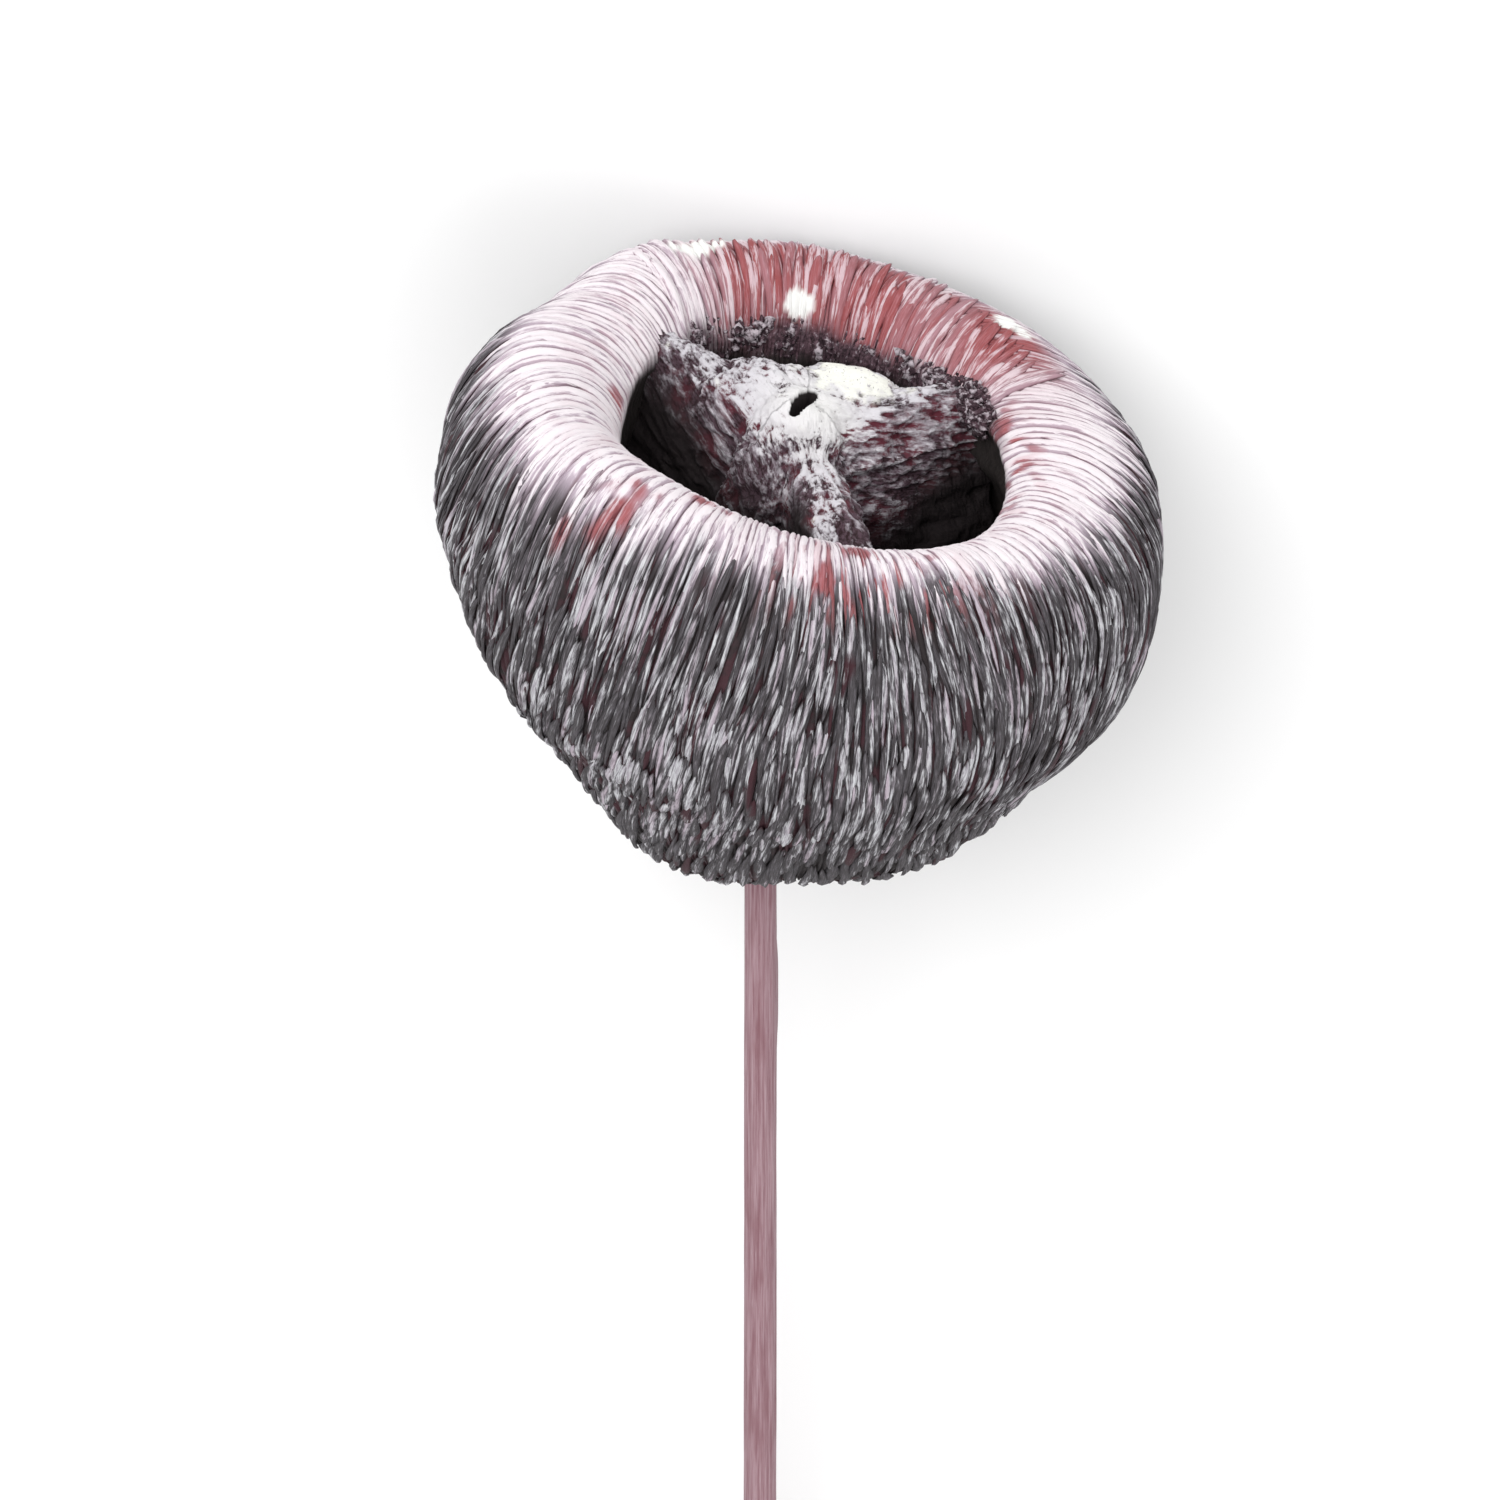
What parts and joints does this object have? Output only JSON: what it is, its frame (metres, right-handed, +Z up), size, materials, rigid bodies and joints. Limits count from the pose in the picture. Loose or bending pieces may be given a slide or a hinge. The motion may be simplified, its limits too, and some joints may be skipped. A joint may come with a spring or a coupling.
{
  "type": "dried seed pod on a stick",
  "caption": "Dried husk seed pod with a rolled ribbed rim and a chambered mouth, glued on a long round wooden stick, lying on its side.",
  "frame": {"origin": "on the worn flat spot on the pod's back, on the surface that the pod lies on", "axes": "+Z up; +Y from the stick's cut end to the pod's mouth, which also looks a little upward; +X to the right when the mouth is seen with the pod's front up"},
  "size_m": [0.0951, 0.3048, 0.0894],
  "materials": {
    "husk": "fibrous husk, dyed dark burgundy and dry-brushed with white, matte",
    "stick_wood": "round wooden stick, thinly painted mauve pink, matte"
  },
  "bodies": {
    "root": {"pod": "husk", "stick": "stick_wood"}
  },
  "joints": []
}
